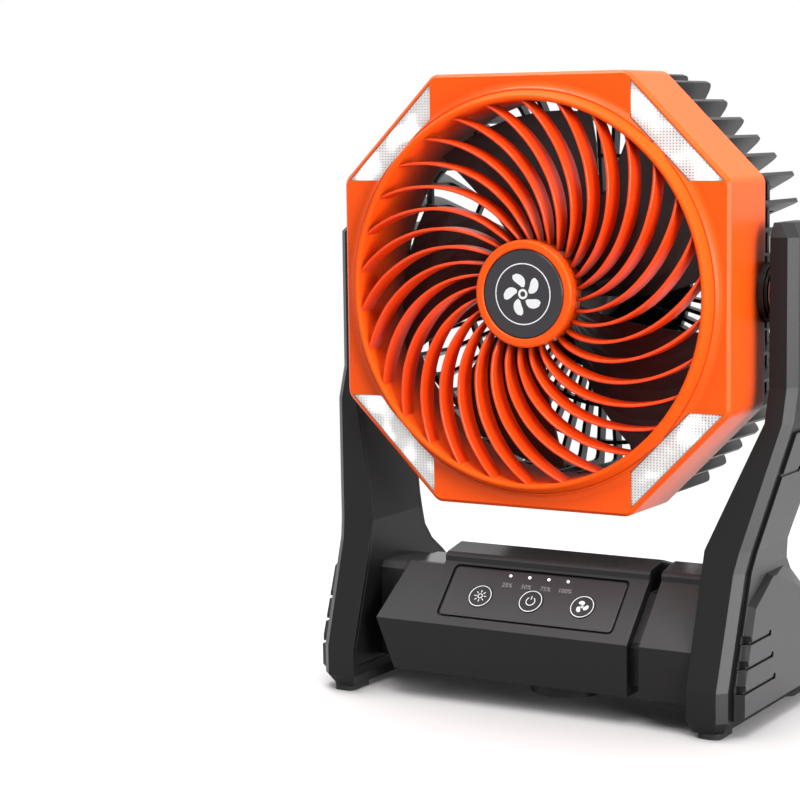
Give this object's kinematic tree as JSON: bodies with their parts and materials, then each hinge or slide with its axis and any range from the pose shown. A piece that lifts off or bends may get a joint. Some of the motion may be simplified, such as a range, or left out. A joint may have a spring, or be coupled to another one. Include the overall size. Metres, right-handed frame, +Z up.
{
  "type": "portable camping fan",
  "caption": "Cordless camping fan: octagonal head with domed spiral grille, corner lamps and rear fins, tilting between dog-leg arms on a battery base with buttons and a fold-out hook",
  "frame": {"origin": "on the ground, under the middle of the whole fan", "axes": "+Z up, the fan blows towards -Y, +X to the right seen from the front"},
  "size_m": [0.262, 0.124, 0.3216],
  "materials": {
    "orange_plastic": "satin moulded",
    "black_plastic": "fine satin moulded",
    "panel_plastic": "satin",
    "blade_plastic": "satin moulded",
    "lamp_lens": "prism pattern",
    "lamp_board": "white solder mask",
    "circuit_board": "green solder mask",
    "steel": "brushed",
    "brass": "turned",
    "cell_wrap": "shrink wrap",
    "rubber": "matte",
    "button_plastic": "satin"
  },
  "bodies": {
    "stand": {"left_arm": "black_plastic", "right_arm": "black_plastic", "left_arm_liner": "black_plastic", "right_arm_liner": "black_plastic", "left_side_cover": "black_plastic", "right_side_cover": "black_plastic", "pivot_bolts": "steel", "friction_washers": "steel", "base_upper": "black_plastic", "base_lower": "black_plastic", "base_screws": "steel", "arm_screws": "steel", "foot_pads": "rubber", "control_panel": "panel_plastic", "charge_lights": "lamp_lens", "main_board": "circuit_board", "usb_a_port": "steel", "usb_c_port": "steel", "battery_cell_1": "cell_wrap", "battery_cell_2": "cell_wrap", "battery_cell_3": "cell_wrap", "battery_cell_4": "cell_wrap", "hook_pin": "steel"},
    "head": {"front_bezel": "orange_plastic", "spiral_grille": "orange_plastic", "hub_badge": "panel_plastic", "rear_housing": "black_plastic", "head_screws": "steel", "motor": "steel", "motor_screws": "steel", "tilt_boss_left": "black_plastic", "tilt_boss_right": "black_plastic", "led_lens_1": "lamp_lens", "led_lens_2": "lamp_lens", "led_lens_3": "lamp_lens", "led_lens_4": "lamp_lens", "led_board_1": "lamp_board", "led_board_2": "lamp_board", "led_board_3": "lamp_board", "led_board_4": "lamp_board"},
    "fan_rotor": {"impeller": "blade_plastic", "motor_shaft": "steel", "impeller_nut": "brass"},
    "light_button": {"light_button": "button_plastic"},
    "power_button": {"power_button": "button_plastic"},
    "fan_button": {"fan_button": "button_plastic"},
    "hook": {"hanging_hook": "black_plastic"}
  },
  "joints": [
    {"name": "head_tilt", "type": "hinge", "parent": "stand", "child": "head", "pos_m": [0, 0.0065, 0.212], "axis": [1, 0, 0], "range_deg": [-135, 135]},
    {"name": "impeller_spin", "type": "hinge", "parent": "head", "child": "fan_rotor", "pos_m": [0, -0.0115, 0.212], "axis": [0, -1, 0], "continuous": true},
    {"name": "hook_fold", "type": "hinge", "parent": "stand", "child": "hook", "pos_m": [0.016, -0.004, 0.0115], "axis": [1, 0, 0], "range_deg": [0, 180]},
    {"name": "light_press", "type": "slide", "parent": "stand", "child": "light_button", "axis": [0, 0.7198, -0.6941], "range_m": [0, 0.0006], "stiffness_N_per_m": 900},
    {"name": "power_press", "type": "slide", "parent": "stand", "child": "power_button", "axis": [0, 0.7198, -0.6941], "range_m": [0, 0.0006], "stiffness_N_per_m": 900},
    {"name": "fan_press", "type": "slide", "parent": "stand", "child": "fan_button", "axis": [0, 0.7198, -0.6941], "range_m": [0, 0.0006], "stiffness_N_per_m": 900}
  ]
}
